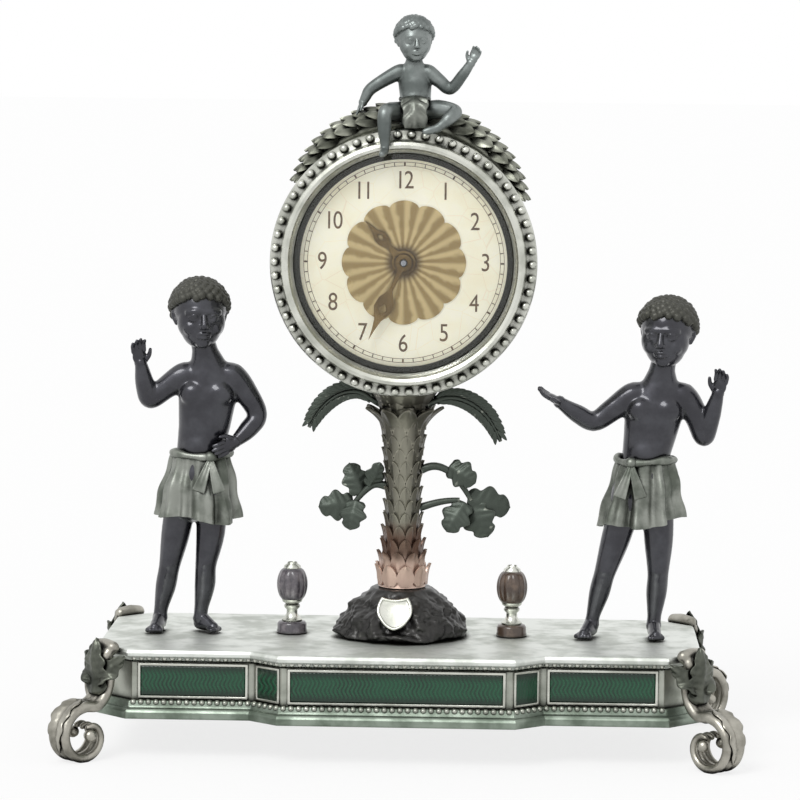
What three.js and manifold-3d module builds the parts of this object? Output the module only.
// Figural desk clock: a drum clock carried by a palm tree on an enamelled silver base,
// with a standing boy on either side and a small seated boy on the drum.
// Millimetres, +Z up, +X to the viewer's right, the dial faces -Y.
import * as THREE from "three";
import { mergeVertices } from "three/addons/utils/BufferGeometryUtils.js";
import Module from "manifold-3d";

const wasm = await Module();
wasm.setup();

// Fits
const SEAT = 0.3; // gap between pieces that rest on each other
const RUN = 0.15; // gap round a turning arbor

// Base
const BASE_WIDTH = 178; // edge to edge of the platform
const WING_DEPTH = 70; // front wing to back edge of the platform
const BREAK_WIDTH = 69; // the centre that stands forward
const BREAK_PROJECTION = 7;
const BREAK_RUN = 8.5; // each slanting return, measured along the front
const CORNER_CANT = 10; // cut corner that carries a foot
const APRON_BOTTOM = 12; // clear height under the base
const APRON_HEIGHT = 16.6;
const APRON_INSET = 3; // apron face behind the platform edge
const APRON_WALL = 3;
const PLATE_THICKNESS = 3.5;
const MOULDING_HEIGHT = 5.2;
const MOULDING_PROJECTION = 0.6; // lower moulding beyond the platform edge
const PANEL_HEIGHT = 9.6;
const PANEL_THICKNESS = 1.2;
const PANEL_RECESS = 1;
const PANEL_END = 2.2; // bare apron at each end of a panel
const FOOT_WIDTH = 8;
const FOOT_REACH = 20.5; // from the platform corner to the outside of the scroll
const FOOT_RIBBON = 4;
const SOLE_TRIM = 0.35; // cut off the scroll to leave a flat sole
const SCROLL_RADIUS = 9.4;
const KNEE_RISE = 2.6; // leaf tip above the platform

// Palm tree
const MOUND_RADIUS = 20;
const MOUND_HEIGHT = 14.3;
const MOUND_TOP_RADIUS = 9.2;
const TRUNK_HEIGHT = 54;
const TRUNK_FOOT_RADIUS = 7.8;
const TRUNK_WAIST_RADIUS = 5.4;
const TRUNK_HEAD_RADIUS = 7;
const BARK_RINGS = 8;
const CROWN_HEIGHT = 6; // trunk head to the underside of the drum
const CROWN_RADIUS = 11;
const ROD_RADIUS = 2;
const NUT_HEIGHT = 2.4;
const NUT_RADIUS = 4;
const FROND_SPAN = 29; // frond tip from the trunk axis
const FROND_DROP = 14;
const CARTOUCHE_WIDTH = 10.4;
const CARTOUCHE_HEIGHT = 10.4;
const CARTOUCHE_THICKNESS = 1.2;

// Urns and figures
const URN_SPACING = 66;
const URN_HEIGHT = 20.5;
const URN_RADIUS = 4.5;
const LEFT_FIGURE_INSET = 24.5; // middle of a boy's stance from the platform's end
const RIGHT_FIGURE_INSET = 23;
const FIGURE_HEIGHT = 106; // sole to hair of the taller boy
const STUD_RADIUS = 1.2;
const STUD_NUT_RADIUS = 3;
const SKIRT_WALL = 1.3;

// Drum, dial and door
const DRUM_RADIUS = 37.2;
const DRUM_DEPTH = 31;
const DRUM_WALL = 2;
const FLANGE_WIDTH = 3; // inner flange that carries the movement
const BEZEL_RADIUS = 38;
const BEZEL_DEPTH = 6;
const GLASS_RADIUS = 32;
const GLASS_RISE = 4;
const GLASS_THICKNESS = 1;
const DIAL_THICKNESS = 0.8;
const DIAL_DEPTH = 1.8; // dial face behind the drum front
const ROSETTE_RADIUS = 17.4;
const ROSETTE_LOBES = 12;
const ROSETTE_THICKNESS = 0.5;
const DOOR_THICKNESS = 1.6;
const HINGE_RADIUS = 1.5;
const HINGE_PIN_RADIUS = 0.7;
const HINGE_LENGTH = 14;

// Crest
const SEATED_HEIGHT = 30.4; // seat to hair of the small boy
const GARLAND_RISE = 9; // garland top above the drum
const GARLAND_TIP_RISE = 3.2;
const GARLAND_SEAT_RISE = 4.6; // dip in the middle where the small boy sits
const GARLAND_DEPTH = 10;
const GARLAND_LEFT = 48; // degrees from the top
const GARLAND_RIGHT = 56;

// Movement
const PLATE_SPACE = 14; // between the movement plates
const MOVEMENT_PLATE = 1.5;
const ARBOR_RADIUS = 0.6;
const MINUTE_ARBOR_RADIUS = 0.9;
const BARREL_ARBOR_RADIUS = 1.5;
const BARREL_MODULE = 0.6;
const BARREL_TEETH = 40;
const CENTRE_LEAVES = 8;
const CENTRE_MODULE = 0.44;
const TRAIN_MODULE = 0.4;
const CENTRE_TEETH = 48;
const THIRD_TEETH = 45;
const FOURTH_TEETH = 40;
const TRAIN_LEAVES = 6;
const MOTION_MODULE = 0.5;
const CANNON_LEAVES = 8;
const MINUTE_WHEEL_TEETH = 24;
const MINUTE_LEAVES = 6;
const HOUR_WHEEL_TEETH = 24;
const WHEEL_THICKNESS = 0.8;
const ESCAPE_RADIUS = 4.4;
const ESCAPE_TEETH = 15;
const LEVER_DISTANCE = 5.8; // escape arbor to lever pivot
const BALANCE_DISTANCE = 6.8; // lever pivot to balance staff
const BALANCE_RADIUS = 6.6;
const RATCHET_RADIUS = 4.6;
const RATCHET_TEETH = 20;
const BARREL_ANGLE = 200; // degrees, seen from the front, from +X towards +Z
const THIRD_ANGLE = 60;
const FOURTH_ANGLE = -40;
const ESCAPE_ANGLE = -110;
const LEVER_ANGLE = -115;
const BALANCE_ANGLE = -115;
const MINUTE_WHEEL_ANGLE = -60;

// Hands
const MINUTE_HAND_LENGTH = 25;
const HOUR_HAND_LENGTH = 17;
const HAND_THICKNESS = 0.6;
const MINUTE_HAND_AT = 204; // degrees clockwise from twelve
const HOUR_HAND_AT = 317;

const ROUND = 32; // facets of the large turned pieces
const FORM_TOLERANCE = 0.22; // facet tolerance of the cast figures
const TURN = Math.PI * 2;
const rad = THREE.MathUtils.degToRad;
const v3 = (x, y, z) => new THREE.Vector3(x, y, z);
const object = new THREE.Group();
object.name = "figural_desk_clock";

/** Indexed geometry from points and triangles, turned so that its faces look outwards. */
function skin(points, triangles) {
  let volume = 0;
  for (const [a, b, c] of triangles) {
    volume += points[a].dot(points[b].clone().cross(points[c]));
  }
  const order = volume < 0 ? triangles.map(([a, b, c]) => [a, c, b]) : triangles;
  const geometry = new THREE.BufferGeometry().setFromPoints(points);
  geometry.setIndex(order.flat());
  return geometry;
}

/** Closed skin over rings of equal count, with a cap point beyond each end ring. */
function loft(rings, firstCap, lastCap) {
  const count = rings[0].length;
  const points = [...rings.flat(), firstCap, lastCap];
  const first = points.length - 2;
  const triangles = [];
  for (let i = 0; i < count; i += 1) {
    const j = (i + 1) % count;
    triangles.push([first, j, i]);
    for (let r = 0; r + 1 < rings.length; r += 1) {
      const low = r * count;
      const high = low + count;
      triangles.push([low + i, low + j, high + j], [low + i, high + j, high + i]);
    }
    const end = (rings.length - 1) * count;
    triangles.push([end + i, end + j, first + 1]);
  }
  return skin(points, triangles);
}

/** Closed loops joined one to the next and the last to the first, like a picture frame. */
function frameOf(loops) {
  const count = loops[0].length;
  const points = loops.flat();
  const triangles = [];
  for (let r = 0; r < loops.length; r += 1) {
    const low = r * count;
    const high = ((r + 1) % loops.length) * count;
    for (let i = 0; i < count; i += 1) {
      const j = (i + 1) % count;
      triangles.push([low + i, low + j, high + j], [low + i, high + j, high + i]);
    }
  }
  return skin(points, triangles);
}

/** Level oval ring; the first point looks along +X. */
function oval(x, y, z, halfWidth, halfDepth, sides) {
  const ring = [];
  for (let i = 0; i < sides; i += 1) {
    const a = (i / sides) * TURN;
    ring.push(v3(x + Math.cos(a) * halfWidth, y + Math.sin(a) * halfDepth, z));
  }
  return ring;
}

/** Round limb through stations [x, y, z, radius], with rounded ends. */
function limb(stations, sides, flatten = 1) {
  const at = stations.map(([x, y, z]) => v3(x, y, z));
  const rings = [];
  let side = null;
  for (let i = 0; i < at.length; i += 1) {
    const before = at[Math.max(i - 1, 0)];
    const after = at[Math.min(i + 1, at.length - 1)];
    const along = after.clone().sub(before).normalize();
    const start = Math.abs(along.y) < 0.9 ? v3(0, 1, 0) : v3(1, 0, 0);
    side = (side ?? start).clone();
    side.addScaledVector(along, -side.dot(along)).normalize();
    const up = along.clone().cross(side);
    const ring = [];
    for (let k = 0; k < sides; k += 1) {
      const a = (k / sides) * TURN;
      const point = at[i].clone();
      point.addScaledVector(side, Math.cos(a) * stations[i][3]);
      point.addScaledVector(up, Math.sin(a) * stations[i][3] * flatten);
      ring.push(point);
    }
    rings.push(ring);
  }
  const last = at.length - 1;
  const head = at[0].clone().sub(at[1]).normalize();
  const tail = at[last].clone().sub(at[last - 1]).normalize();
  const firstCap = at[0].clone().addScaledVector(head, stations[0][3] * 0.6);
  const lastCap = at[last].clone().addScaledVector(tail, stations[last][3] * 0.6);
  return loft(rings, firstCap, lastCap);
}

function ball(x, y, z, halfWidth, halfDepth, halfHeight, around = 10, rows = 7) {
  const geometry = new THREE.SphereGeometry(1, around, rows).rotateX(Math.PI / 2);
  return geometry.scale(halfWidth, halfDepth, halfHeight).translate(x, y, z);
}

function box(x0, x1, y0, y1, z0, z1) {
  const geometry = new THREE.BoxGeometry(x1 - x0, y1 - y0, z1 - z0);
  return geometry.translate((x0 + x1) / 2, (y0 + y1) / 2, (z0 + z1) / 2);
}

/** Turned piece about +Y from [radius, y] points. */
function turned(profile, segments) {
  const points = profile.map(([r, y]) => new THREE.Vector2(r, y));
  return new THREE.LatheGeometry(points, segments);
}

/** Turned piece about +Z from [radius, z] points. */
function turnedUp(profile, segments) {
  return turned(profile, segments).rotateX(Math.PI / 2);
}

/** Round bar along Y between two levels. */
function bar(radius, front, back, sides = 8) {
  const geometry = new THREE.CylinderGeometry(radius, radius, back - front, sides);
  return geometry.translate(0, (front + back) / 2, 0);
}

/** Round bar along Z between two levels. */
function post(radius, low, high, sides = 12) {
  const geometry = new THREE.CylinderGeometry(radius, radius, high - low, sides).rotateX(Math.PI / 2);
  return geometry.translate(0, 0, (low + high) / 2);
}

/** Outline in the dial plane made thick along Y between two levels. */
function sheet(shape, front, back) {
  const depth = back - front;
  const geometry = new THREE.ExtrudeGeometry(shape, { depth, bevelEnabled: false, curveSegments: 6 });
  return geometry.rotateX(Math.PI / 2).translate(0, back, 0);
}

function outline(points) {
  return new THREE.Shape(points.map(([x, y]) => new THREE.Vector2(x, y)));
}

/** Polygon bore whose flats clear a round bar by the given gap. */
function boreRadius(radius, gap, sides) {
  return (radius + gap) / Math.cos(Math.PI / sides);
}

/** A closed geometry as a solid that can be joined and cut. */
function solidOf(geometry) {
  const bare = geometry.index ? geometry.toNonIndexed() : geometry.clone();
  for (const name of ["normal", "uv"]) {
    bare.deleteAttribute(name);
  }
  const merged = mergeVertices(bare, 1e-4);
  const corners = merged.index.array;
  const kept = [];
  for (let i = 0; i < corners.length; i += 3) {
    const [a, b, c] = [corners[i], corners[i + 1], corners[i + 2]];
    if (a !== b && b !== c && a !== c) {
      kept.push(a, b, c);
    }
  }
  const points = merged.attributes.position.array;
  let volume = 0;
  for (let i = 0; i < kept.length; i += 3) {
    const [a, b, c] = [kept[i], kept[i + 1], kept[i + 2]].map((k) => v3(...points.slice(3 * k, 3 * k + 3)));
    volume += a.dot(b.cross(c));
  }
  if (volume < 0) {
    kept.reverse();
  }
  return new wasm.Manifold(
    new wasm.Mesh({ numProp: 3, vertProperties: points, triVerts: new Uint32Array(kept) }),
  );
}

function joined(...geometries) {
  return geometries.map(solidOf).reduce((sum, next) => sum.add(next));
}

function cut(solid, ...geometries) {
  return geometries.map(solidOf).reduce((rest, next) => rest.subtract(next), solid);
}

function geometryOf(solid) {
  const mesh = solid.simplify(0.004).getMesh();
  const geometry = new THREE.BufferGeometry();
  geometry.setAttribute("position", new THREE.BufferAttribute(new Float32Array(mesh.vertProperties), 3));
  geometry.setIndex(new THREE.BufferAttribute(new Uint32Array(mesh.triVerts), 1));
  return geometry.toNonIndexed();
}

// Finishes: colour, roughness, metalness
const FINISHES = {
  pale_silver: ["#b9bbae", 0.3, 0.9],
  grey_silver: ["#8f938b", 0.4, 0.85],
  old_silver: ["#6f746f", 0.45, 0.8],
  green_enamel: ["#1f5a3c", 0.2, 0.1],
  dark_bronze: ["#2d2f36", 0.4, 0.7],
  palm_bronze: ["#5d5a4c", 0.5, 0.6],
  leaf_bronze: ["#414a44", 0.5, 0.6],
  steel: ["#9a9da0", 0.35, 0.9],
  brass: ["#b6974f", 0.35, 0.9],
  cream_enamel: ["#efe9cd", 0.3, 0],
  gilt: ["#a08f63", 0.35, 0.85],
  dark_gilt: ["#4a3a24", 0.4, 0.7],
  clear_glass: ["#e8eef0", 0.05, 0],
};

/** Adds one named piece to a group. */
function piece(name, source, finish, group = object, place = [0, 0, 0]) {
  const geometry = source.isBufferGeometry ? geometryOf(solidOf(source)) : geometryOf(source);
  geometry.computeVertexNormals();
  const [color, roughness, metalness] = FINISHES[finish];
  const material = new THREE.MeshStandardMaterial({ color, roughness, metalness });
  material.name = finish;
  const mesh = new THREE.Mesh(geometry, material);
  mesh.name = name;
  mesh.position.set(...place);
  group.add(mesh);
  return mesh;
}

// Base levels and plan
const HALF_WIDTH = BASE_WIDTH / 2;
const HALF_DEPTH = WING_DEPTH / 2;
const BREAK_FRONT = HALF_DEPTH + BREAK_PROJECTION;
const APRON_TOP = APRON_BOTTOM + APRON_HEIGHT;
const PLATFORM_BOTTOM = APRON_TOP + SEAT;
const PLATFORM_TOP = PLATFORM_BOTTOM + PLATE_THICKNESS;
const MOULDING_TOP = APRON_BOTTOM + MOULDING_HEIGHT;
const PANEL_MIDDLE = (MOULDING_TOP + APRON_TOP) / 2;

/** Plan of the base, moved inwards by an inset, at one level. */
function basePlan(inset, z) {
  const w = HALF_WIDTH;
  const d = HALF_DEPTH;
  const c = CORNER_CANT;
  const b = BREAK_WIDTH / 2;
  const wing = b + BREAK_RUN;
  const corners = [
    [c - w, -d], [-wing, -d], [-b, -BREAK_FRONT], [b, -BREAK_FRONT], [wing, -d], [w - c, -d],
    [w, c - d], [w, d - c], [w - c, d], [c - w, d], [-w, d - c], [-w, c - d],
  ];
  return corners.map(([x, y], i) => {
    const [px, py] = corners.at(i - 1);
    const [nx, ny] = corners[(i + 1) % corners.length];
    const before = new THREE.Vector2(x - px, y - py).normalize();
    const after = new THREE.Vector2(nx - x, ny - y).normalize();
    const inward = new THREE.Vector2(-before.y - after.y, before.x + after.x);
    inward.multiplyScalar(inset / (1 + before.dot(after)));
    return v3(x + inward.x, y + inward.y, z);
  });
}

/** Moulding run round the base plan from [inset, z] points. */
function baseRun(profile) {
  return frameOf(profile.map(([inset, z]) => basePlan(inset, z)));
}

/** Slab over the base plan from [inset, z] points. */
function baseSlab(profile) {
  const shape = new THREE.Shape(basePlan(0, 0).map(({ x, y }) => new THREE.Vector2(x, y)));
  const faces = THREE.ShapeUtils.triangulateShape(shape.getPoints(), []);
  const loops = profile.map(([inset, z]) => basePlan(inset, z));
  const count = loops[0].length;
  const top = (loops.length - 1) * count;
  const triangles = [];
  for (const [a, b, c] of faces) {
    triangles.push([a, c, b], [top + a, top + b, top + c]);
  }
  for (let r = 0; r + 1 < loops.length; r += 1) {
    for (let i = 0; i < count; i += 1) {
      const j = (i + 1) % count;
      const low = r * count;
      const high = low + count;
      triangles.push([low + i, low + j, high + j], [low + i, high + j, high + i]);
    }
  }
  return skin(loops.flat(), triangles);
}

// The standing boys, drawn 106 high from the point between the feet: hips and chest as
// [x, y, z, half width, half depth], limbs as [x, y, z, radius], feet as [heel, toe], head as [x, y, z, turn]
const LEFT_BOY = {
  hips: [[2.4, 0, 37, 9.2, 7.2], [2.6, 0, 42, 9.8, 7.8], [3, 0, 48, 8.8, 7.2], [3.6, 0, 54.5, 7.2, 5.8]],
  chest: [
    [4.8, 0.2, 62, 7.9, 6], [5.6, 0.2, 70, 8.9, 6.4], [6, 0.4, 78, 9, 5.4],
    [5.6, 0.3, 82.2, 5.6, 4.4], [4.8, 0, 85, 4, 4], [4, -0.4, 88, 3.8, 3.8],
  ],
  legs: [
    [
      [-2, 0, 40, 5], [-3.6, -0.4, 30, 4.6], [-5.4, -0.8, 20, 3.3],
      [-6.8, 0.2, 13.5, 3.3], [-8.4, 0.6, 4, 2.2],
    ],
    [
      [7, 0, 40, 5], [6.9, -0.8, 30, 4.6], [5.6, -1.6, 20.5, 3.3],
      [5.2, -0.4, 14, 3.3], [3.8, 0.6, 4, 2.2],
    ],
  ],
  arms: [
    [
      [2.4, 0, 76.6, 3.2], [-1.2, 0, 77.4, 4.1], [-6.6, -0.6, 73.6, 3.6], [-11.8, -1.4, 69.4, 3],
      [-13, -3, 76, 2.8], [-14, -4.2, 81, 1.8], [-14.6, -4.8, 84, 2.2], [-14.8, -5, 86.2, 1.2],
    ],
    [
      [9.4, 0, 76.6, 3.2], [13, 0, 77.4, 4.1], [17.6, 0.4, 71.6, 3.6], [21, 0.6, 64.8, 3],
      [17.4, -1.6, 60.6, 2.8], [14.4, -4, 57.6, 1.8], [12.4, -5.8, 56.2, 2], [10.4, -7, 55.4, 1.2],
    ],
  ],
  feet: [[[-8.4, 1.4], [-9.6, -7.4]], [[3.4, 1.2], [9.8, -4]]],
  head: [3.4, -0.6, 95.2, 14],
  stud: [-8.4, 0.6],
};
const RIGHT_BOY = {
  hips: [[5.2, 0, 37, 9.2, 7.2], [5.4, 0, 42, 9.8, 7.8], [5.8, 0, 48, 8.8, 7.2], [6.4, 0, 54.5, 7.2, 5.8]],
  chest: [
    [7.4, 0.2, 60, 7.9, 6], [8.6, 0.2, 67, 8.9, 6.4], [9.8, 0.4, 74, 9.2, 5.4],
    [10.3, 0.3, 78, 5.6, 4.4], [10.7, 0, 80.8, 4, 4], [11.4, -0.4, 84, 3.8, 3.8],
  ],
  legs: [
    [
      [0.6, 0, 40, 5], [-2.2, -0.6, 30, 4.6], [-5.2, -1.2, 20, 3.3],
      [-6.8, 0, 13.5, 3.3], [-9, 0.6, 4, 2.2],
    ],
    [
      [10.2, 0, 40, 5], [10.6, -0.6, 30, 4.6], [10.6, -1, 20, 3.3],
      [10.3, 0.2, 13.5, 3.3], [9.6, 0.6, 4, 2.2],
    ],
  ],
  arms: [
    [
      [6, 0, 72.4, 3.2], [2.4, 0, 73.2, 4.1], [-3.6, -0.4, 68.8, 3.6], [-9.2, -1, 64.2, 3],
      [-14.6, -3, 67.6, 2.7], [-19, -4.4, 70.6, 1.8], [-21.8, -5.2, 72.4, 2], [-24.2, -5.6, 73.4, 1.1],
    ],
    [
      [13.6, 0, 72.4, 3.2], [17.2, 0, 73.2, 4.1], [21.4, 0.2, 66.8, 3.6], [23.8, 0.2, 60, 3],
      [25.8, -2, 68, 2.8], [27.2, -3.4, 74, 1.8], [28, -4.2, 77, 2.2], [28.4, -4.6, 79.4, 1.2],
    ],
  ],
  feet: [[[-9, 1.4], [-12, -6.6]], [[9.6, 1.4], [10.2, -7.4]]],
  head: [12, -0.6, 91.4, -16],
  stud: [9.6, 0.6],
};
const figureScale = FIGURE_HEIGHT / 106;
const leftFigureX = LEFT_FIGURE_INSET - HALF_WIDTH;
const rightFigureX = HALF_WIDTH - RIGHT_FIGURE_INSET;

/** Where a boy's stud passes through the platform: [x, y]. */
function studPlace(x, plan) {
  return [x + plan.stud[0] * figureScale, plan.stud[1] * figureScale];
}
const LEFT_STUD = studPlace(leftFigureX, LEFT_BOY);
const RIGHT_STUD = studPlace(rightFigureX, RIGHT_BOY);
const URN_X = URN_SPACING / 2;

const plate = cut(
  joined(
    baseSlab([
      [2.2, PLATFORM_BOTTOM], [1.4, PLATFORM_BOTTOM + 0.9], [0.2, PLATFORM_BOTTOM + 1.5],
      [0, PLATFORM_TOP - 0.9], [0.7, PLATFORM_TOP],
    ]),
  ),
  post(ROD_RADIUS + SEAT, PLATFORM_BOTTOM - 1, PLATFORM_TOP + 1),
  ...[LEFT_STUD, RIGHT_STUD, [-URN_X, 0], [URN_X, 0]].map(([x, y]) =>
    post(STUD_RADIUS + SEAT, PLATFORM_BOTTOM - 1, PLATFORM_TOP + 1, 8).translate(x, y, 0),
  ),
);
piece("platform_plate", plate, "pale_silver");

// Enamel panels: [name, middle x, middle y, length, faces along]
const APRON_FRONT = BREAK_FRONT - APRON_INSET;
const WING_FRONT = HALF_DEPTH - APRON_INSET;
const SIDE_FACE = HALF_WIDTH - APRON_INSET;
/** How far a bend of the plan moves along the front when the plan is drawn in to the apron. */
const bendShift = (run, rise) => APRON_INSET * Math.tan(Math.atan2(rise, run) / 2);
const breakShift = bendShift(BREAK_RUN, BREAK_PROJECTION);
const cantShift = bendShift(1, 1);
const centreLength = BREAK_WIDTH - 2 * (breakShift + PANEL_END);
const wingInner = BREAK_WIDTH / 2 + BREAK_RUN - breakShift + PANEL_END;
const wingOuter = HALF_WIDTH - CORNER_CANT - cantShift - PANEL_END;
const wingLength = wingOuter - wingInner;
const wingMiddle = (wingOuter + wingInner) / 2;
const sideLength = WING_DEPTH - 2 * (CORNER_CANT + cantShift + PANEL_END);
const backLength = BASE_WIDTH - 2 * (CORNER_CANT + cantShift + PANEL_END);
const PANELS = [
  ["front_centre_panel", 0, -APRON_FRONT, centreLength, 0],
  ["front_left_panel", -wingMiddle, -WING_FRONT, wingLength, 0],
  ["front_right_panel", wingMiddle, -WING_FRONT, wingLength, 0],
  ["right_side_panel", SIDE_FACE, 0, sideLength, 90],
  ["back_panel", 0, WING_FRONT, backLength, 180],
  ["left_side_panel", -SIDE_FACE, 0, sideLength, 270],
];

let apron = joined(
  baseRun([
    [APRON_INSET, APRON_BOTTOM], [APRON_INSET, APRON_TOP],
    [APRON_INSET + APRON_WALL, APRON_TOP], [APRON_INSET + APRON_WALL, APRON_BOTTOM],
  ]),
);
for (const [name, x, y, length, turn] of PANELS) {
  const half = length / 2;
  const low = PANEL_MIDDLE - PANEL_HEIGHT / 2;
  const high = PANEL_MIDDLE + PANEL_HEIGHT / 2;
  const pocket = box(-half - SEAT, half + SEAT, -2, PANEL_RECESS + SEAT, low - SEAT, high + SEAT);
  apron = cut(apron, pocket.rotateZ(rad(turn)).translate(x, y, 0));
  const face = PANEL_RECESS - PANEL_THICKNESS;
  const rim = [
    [half, PANEL_RECESS, low, high], [half, face + 0.4, low, high],
    [half - 0.7, face, low + 0.7, high - 0.7],
  ];
  const rings = rim.map(([h, depth, z0, z1]) => [
    v3(-h, depth, z0), v3(h, depth, z0), v3(h, depth, z1), v3(-h, depth, z1),
  ]);
  const panel = loft(rings, v3(0, PANEL_RECESS, PANEL_MIDDLE), v3(0, face, PANEL_MIDDLE));
  piece(name, panel.rotateZ(rad(turn)).translate(x, y, 0), "green_enamel");
}
piece("apron_frame", apron, "grey_silver");

const bead = MOULDING_PROJECTION;
piece(
  "base_moulding",
  baseRun([
    [APRON_INSET - SEAT, APRON_BOTTOM], [-bead, APRON_BOTTOM], [-bead, APRON_BOTTOM + 2],
    [0.6 - bead, APRON_BOTTOM + 3], [1.4 - bead, APRON_BOTTOM + 3.2], [2 - bead, MOULDING_TOP],
    [APRON_INSET - SEAT, MOULDING_TOP],
  ]),
  "grey_silver",
);

/** Scroll foot in its own plane: x runs outwards from the platform corner, y is the height. */
function footOutline() {
  const lip = MOULDING_PROJECTION + SEAT;
  const eyeX = FOOT_REACH - SCROLL_RADIUS;
  const inner = SEAT - APRON_INSET;
  const top = PLATFORM_TOP + KNEE_RISE;
  const spiral = (turn, ribbon) => {
    const share = turn / 330;
    const r = SCROLL_RADIUS * (1.06 - 0.72 * share * share) - ribbon * (1 - 0.35 * share);
    const a = rad(75 - turn);
    return [eyeX + r * Math.cos(a), r * Math.sin(a)];
  };
  const outside = [];
  const inside = [];
  for (let step = 0; step <= 10; step += 1) {
    outside.push(spiral(33 * step, 0));
  }
  for (let step = 8; step >= 0; step -= 1) {
    inside.push(spiral(41.25 * step, FOOT_RIBBON));
  }
  const sole = Math.min(...outside.map(([, y]) => y)) + SOLE_TRIM;
  const scroll = [...outside, ...inside].map(([x, y]) => [x, y - sole]);
  return outline([
    [lip, MOULDING_TOP - 3.4], [lip, MOULDING_TOP + SEAT], [inner, MOULDING_TOP + SEAT], [inner, APRON_TOP],
    [SEAT, APRON_TOP], [SEAT, top - 1.8], [2.4, top], [5, top - 0.6], [6.6, top - 3], [6.2, top - 5],
    [4.9, top - 6.4], [4.3, top - 9], [4.9, top - 12.4], [6.6, MOULDING_TOP + 1.4], ...scroll,
  ]);
}

/** Leaf lying over the knee of a foot, one lobe each side of a rib. */
function kneeLeaf() {
  const top = PLATFORM_TOP + KNEE_RISE;
  const lobes = [];
  for (const side of [-1, 1]) {
    lobes.push(ball(4.4, side * 3.4, top - 6, 2.1, 2.6, 4.6, 6, 4));
  }
  return lobes;
}

const FEET = [["front_left", -1, -1], ["front_right", 1, -1], ["back_right", 1, 1], ["back_left", -1, 1]];
const cornerX = HALF_WIDTH - CORNER_CANT / 2;
const cornerY = HALF_DEPTH - CORNER_CANT / 2;
for (const [corner, sx, sy] of FEET) {
  const half = FOOT_WIDTH / 2;
  const ribbon = new THREE.ExtrudeGeometry(footOutline(), { depth: FOOT_WIDTH, bevelEnabled: false });
  const foot = joined(ribbon.rotateX(Math.PI / 2).translate(0, half, 0), ...kneeLeaf());
  const clear = PLATFORM_BOTTOM - SEAT;
  const trimmed = cut(
    foot,
    box(-9, 30, -9, 9, -5, 0),
    box(-9, SEAT, -9, 9, clear, PLATFORM_TOP + 9),
    box(-9, MOULDING_PROJECTION + SEAT, -9, 9, APRON_BOTTOM - 9, MOULDING_TOP + SEAT),
  );
  const turn = Math.atan2(sy, sx);
  const placed = geometryOf(trimmed).rotateZ(turn).translate(sx * cornerX, sy * cornerY, 0);
  piece(`foot_${corner}`, placed, "old_silver");
}

// Urns
const urnFoot = PLATFORM_TOP + SEAT;
const urnTop = urnFoot + URN_HEIGHT;
const urnProfile = [
  [0, PLATFORM_BOTTOM], [STUD_RADIUS, PLATFORM_BOTTOM], [STUD_RADIUS, urnFoot],
  [URN_RADIUS + 0.2, urnFoot], [URN_RADIUS + 0.2, urnFoot + 2], [URN_RADIUS - 1.6, urnFoot + 4.4],
  [1.7, urnFoot + 7.4], [2.3, urnFoot + 9.4], [URN_RADIUS - 0.4, urnTop - 9],
  [URN_RADIUS, urnTop - 6.4], [URN_RADIUS - 0.9, urnTop - 3.4], [1.4, urnTop - 1], [0, urnTop],
];
piece("left_urn", turnedUp(urnProfile, 9).translate(-URN_X, 0, 0), "old_silver");
piece("right_urn", turnedUp(urnProfile, 9).translate(URN_X, 0, 0), "old_silver");

// Mound, trunk and crown, each bored for the tie rod
const rodBore = boreRadius(ROD_RADIUS, SEAT, 12);
const moundBottom = PLATFORM_TOP + SEAT;
const moundTop = moundBottom + MOUND_HEIGHT;
const trunkBottom = moundTop + SEAT;
const trunkTop = trunkBottom + TRUNK_HEIGHT;
const crownBottom = trunkTop + SEAT;
const drumBottom = crownBottom + CROWN_HEIGHT;
const DRUM_Z = drumBottom + SEAT + DRUM_RADIUS;

const moundProfile = [
  [MOUND_RADIUS - 0.6, moundBottom], [MOUND_RADIUS, moundBottom + 2], [MOUND_RADIUS - 1.6, moundBottom + 5],
  [MOUND_RADIUS - 5, moundTop - 5], [MOUND_TOP_RADIUS + 1.6, moundTop - 1.6], [MOUND_TOP_RADIUS, moundTop],
];
const rocks = turnedUp([[0, moundBottom], ...moundProfile, [0, moundTop]], 15);
const rockPoints = rocks.attributes.position;
for (let i = 0; i < rockPoints.count; i += 1) {
  const [x, y, z] = [rockPoints.getX(i), rockPoints.getY(i), rockPoints.getZ(i)];
  const angle = Math.atan2(y, x);
  const swell = 1 + 0.05 * Math.sin(5 * angle + z) + 0.035 * Math.sin(8 * angle - 2 * z);
  const held = z > moundTop - 0.5 ? 1 : swell;
  rockPoints.setXYZ(i, x * held, y * held, z);
}

// Blank cartouche leaning on the front of the mound
const cartoucheTilt = Math.atan2(5.6, MOUND_HEIGHT - 3);
const cartoucheMiddle = moundBottom + MOUND_HEIGHT * 0.56;
const shield = new THREE.Shape();
const cw = CARTOUCHE_WIDTH / 2;
const ch = CARTOUCHE_HEIGHT / 2;
shield.moveTo(-cw * 0.75, ch);
shield.quadraticCurveTo(0, ch * 0.7, cw * 0.75, ch);
shield.quadraticCurveTo(cw * 1.25, ch * 0.2, cw * 0.8, -ch * 0.4);
shield.quadraticCurveTo(cw * 0.5, -ch * 0.9, 0, -ch);
shield.quadraticCurveTo(-cw * 0.5, -ch * 0.9, -cw * 0.8, -ch * 0.4);
shield.quadraticCurveTo(-cw * 1.25, ch * 0.2, -cw * 0.75, ch);
const seatDepth = MOUND_RADIUS - 4.6;
const leaning = (geometry) => geometry.rotateX(-cartoucheTilt).translate(-1.6, -seatDepth, cartoucheMiddle);
const pocketDepth = 12;
const cartouchePocket = leaning(
  box(-cw - 1.4, cw + 1.4, -pocketDepth, SEAT, -ch - 1.4, ch + 1.4),
);
piece(
  "mound",
  cut(joined(rocks), post(rodBore, moundBottom - 1, moundTop + 1), cartouchePocket),
  "dark_bronze",
);
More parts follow.
